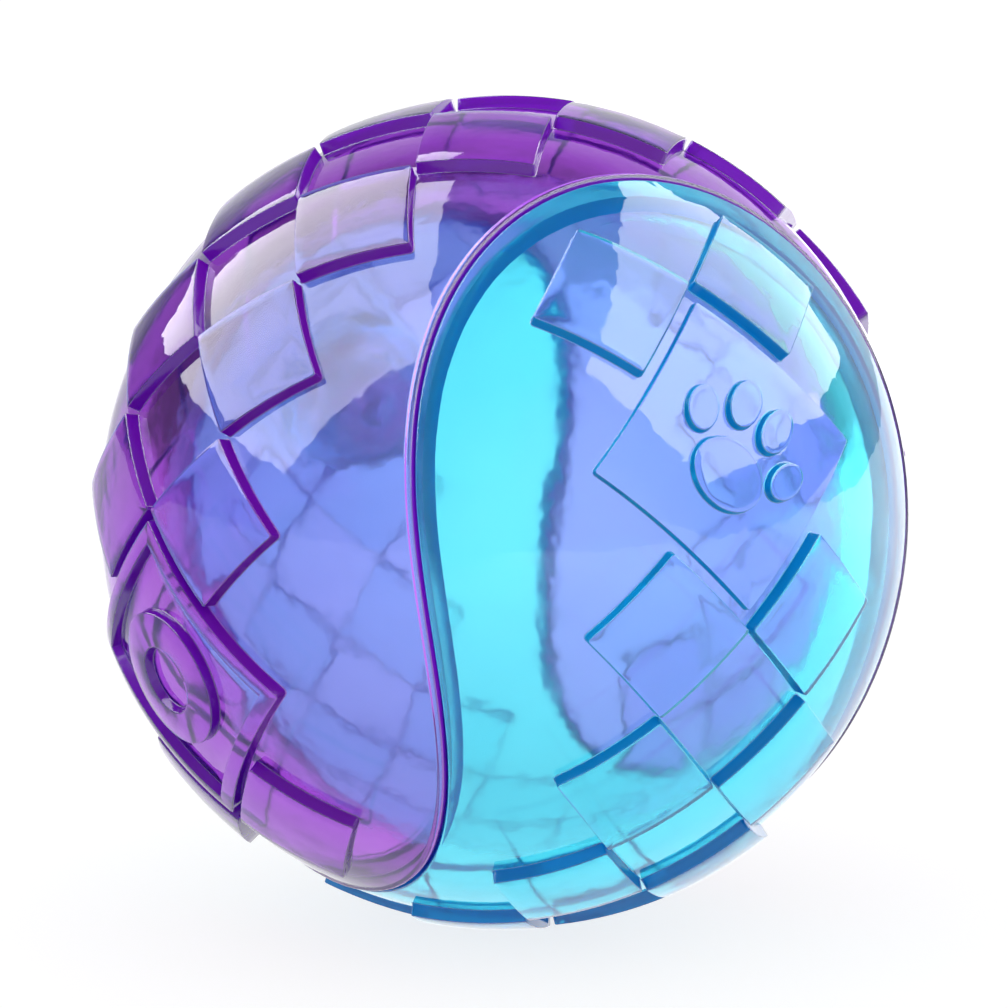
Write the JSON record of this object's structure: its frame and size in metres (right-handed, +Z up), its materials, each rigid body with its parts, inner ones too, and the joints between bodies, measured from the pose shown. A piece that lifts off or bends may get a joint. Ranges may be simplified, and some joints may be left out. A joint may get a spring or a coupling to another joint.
{
  "type": "squeaky dog ball",
  "caption": "Hollow soft ball of two translucent coloured halves joined along a wavy seam, with raised square tiles and an inner squeaker that sounds when the ball is squeezed.",
  "frame": {"origin": "centre of the ball", "axes": "+Z up the ball's axis, from the middle of the blue half's waist to the middle of the purple half's waist; the picture looks along +Y and a little down"},
  "size_m": [0.0634, 0.0634, 0.0642],
  "materials": {
    "purple_soft_rubber": "glossy translucent moulded rubber",
    "blue_soft_rubber": "glossy translucent moulded rubber",
    "clear_plastic": "clear moulded plastic",
    "reed_film": "thin stiff film"
  },
  "bodies": {
    "ball": {"purple_half": "purple_soft_rubber", "blue_half": "blue_soft_rubber", "squeaker_housing": "clear_plastic", "squeaker_reed_seat": "clear_plastic", "squeaker_clamp": "clear_plastic"},
    "reed": {"squeaker_reed": "reed_film"}
  },
  "joints": [
    {"name": "reed_flutter", "type": "hinge", "parent": "ball", "child": "reed", "pos_m": [-0.01169, 0.01701, 0.00635], "axis": [0.1666, -0.2423, 0.9558], "range_deg": [-5, 3], "stiffness_Nm_per_rad": 0.0005}
  ]
}
